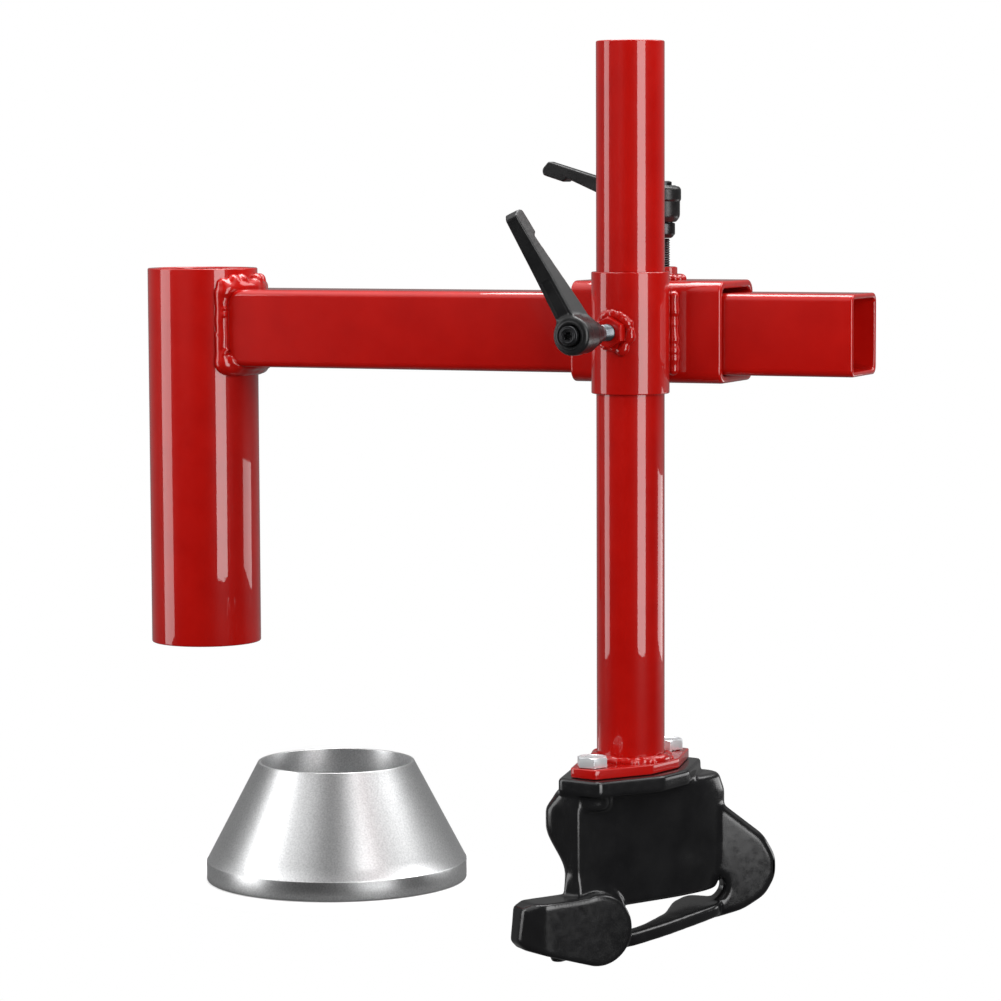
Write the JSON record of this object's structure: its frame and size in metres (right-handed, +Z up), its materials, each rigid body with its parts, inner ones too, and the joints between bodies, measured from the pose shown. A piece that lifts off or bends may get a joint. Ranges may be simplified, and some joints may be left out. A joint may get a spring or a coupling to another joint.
{
  "type": "tyre changer mount and demount arm",
  "caption": "Swing arm with a sliding carriage, a clamped working post, a duck head that guides the tyre bead and a loose wheel-centring cone.",
  "frame": {"origin": "on the pivot sleeve's axis, at its bottom rim, where it sits on the changer's post", "axes": "+Z up the pivot sleeve, +X along the arm, -Y towards the side that carries the working post"},
  "size_m": [0.496, 0.3317, 0.5645],
  "materials": {
    "red_coat": "gloss powder coat",
    "black_nylon": "gloss moulded",
    "black_lever": "satin",
    "black_steel": "black oxide",
    "zinc_steel": "bright zinc",
    "spring_steel": "bright",
    "brass": "satin",
    "aluminium": "satin, fine turned"
  },
  "bodies": {
    "arm": {"pivot_sleeve": "red_coat", "arm_tube": "red_coat", "arm_weld": "red_coat"},
    "carriage": {"carriage_tube": "red_coat", "post_clamp_sleeve": "red_coat", "clamp_weld_left": "red_coat", "clamp_weld_right": "red_coat", "front_weld_nut": "red_coat", "front_nut_weld": "red_coat", "top_weld_nut": "red_coat", "top_nut_weld": "red_coat"},
    "post": {"post_tube": "red_coat"},
    "head": {"post_flange": "red_coat", "flange_weld": "red_coat", "flange_bolt_near": "zinc_steel", "flange_bolt_far": "zinc_steel", "head_insert_near": "brass", "head_insert_far": "brass", "duck_head": "black_nylon"},
    "front_stud": {"front_clamp_stud": "zinc_steel", "front_lever_insert": "black_steel"},
    "front_core": {"front_lever_screw": "black_steel", "front_lever_spring": "spring_steel"},
    "front_handle": {"front_lever_handle": "black_lever"},
    "top_stud": {"top_clamp_stud": "black_steel", "top_lever_insert": "black_steel"},
    "top_core": {"top_lever_screw": "black_steel", "top_lever_spring": "spring_steel"},
    "top_handle": {"top_lever_handle": "black_lever"},
    "cone": {"centring_cone": "aluminium"}
  },
  "joints": [
    {"name": "carriage_slide", "type": "slide", "parent": "arm", "child": "carriage", "axis": [1, 0, 0], "range_m": [-0.18, 0.08]},
    {"name": "post_slide", "type": "slide", "parent": "carriage", "child": "post", "axis": [0, 0, 1], "range_m": [-0.13, 0.2]},
    {"name": "head_turn", "type": "hinge", "parent": "post", "child": "head", "pos_m": [0.326, -0.0562, 0], "axis": [0, 0, 1], "continuous": true},
    {"name": "front_screw_advance", "type": "slide", "parent": "carriage", "child": "front_stud", "axis": [-0.0872, -0.9962, 0], "range_m": [-0.0013, 0.0017]},
    {"name": "front_lever_turn", "type": "hinge", "parent": "front_stud", "child": "front_core", "pos_m": [0.326, -0.0562, 0.214], "axis": [-0.0872, -0.9962, 0], "range_deg": [-270, 360]},
    {"name": "front_handle_lift", "type": "slide", "parent": "front_core", "child": "front_handle", "axis": [-0.0872, -0.9962, 0], "range_m": [0, 0.0045], "stiffness_N_per_m": 1500, "springref_m": -0.003},
    {"name": "top_screw_advance", "type": "slide", "parent": "carriage", "child": "top_stud", "axis": [0, 0, 1], "range_m": [-0.0013, 0.0005]},
    {"name": "top_lever_turn", "type": "hinge", "parent": "top_stud", "child": "top_core", "pos_m": [0.326, 0, 0.244], "axis": [0, 0, 1], "range_deg": [-230, 50]},
    {"name": "top_handle_lift", "type": "slide", "parent": "top_core", "child": "top_handle", "axis": [0, 0, 1], "range_m": [0, 0.0045], "stiffness_N_per_m": 1500, "springref_m": -0.003},
    {"name": "cone_lift", "type": "slide", "parent": "arm", "child": "cone", "axis": [0, 0, 1], "range_m": [0, 0.05]}
  ],
  "couplings": [
    {"joint": "front_screw_advance", "follows": "front_lever_turn", "m_per_rad": 0.00023873},
    {"joint": "top_screw_advance", "follows": "top_lever_turn", "m_per_rad": 0.00023873}
  ]
}
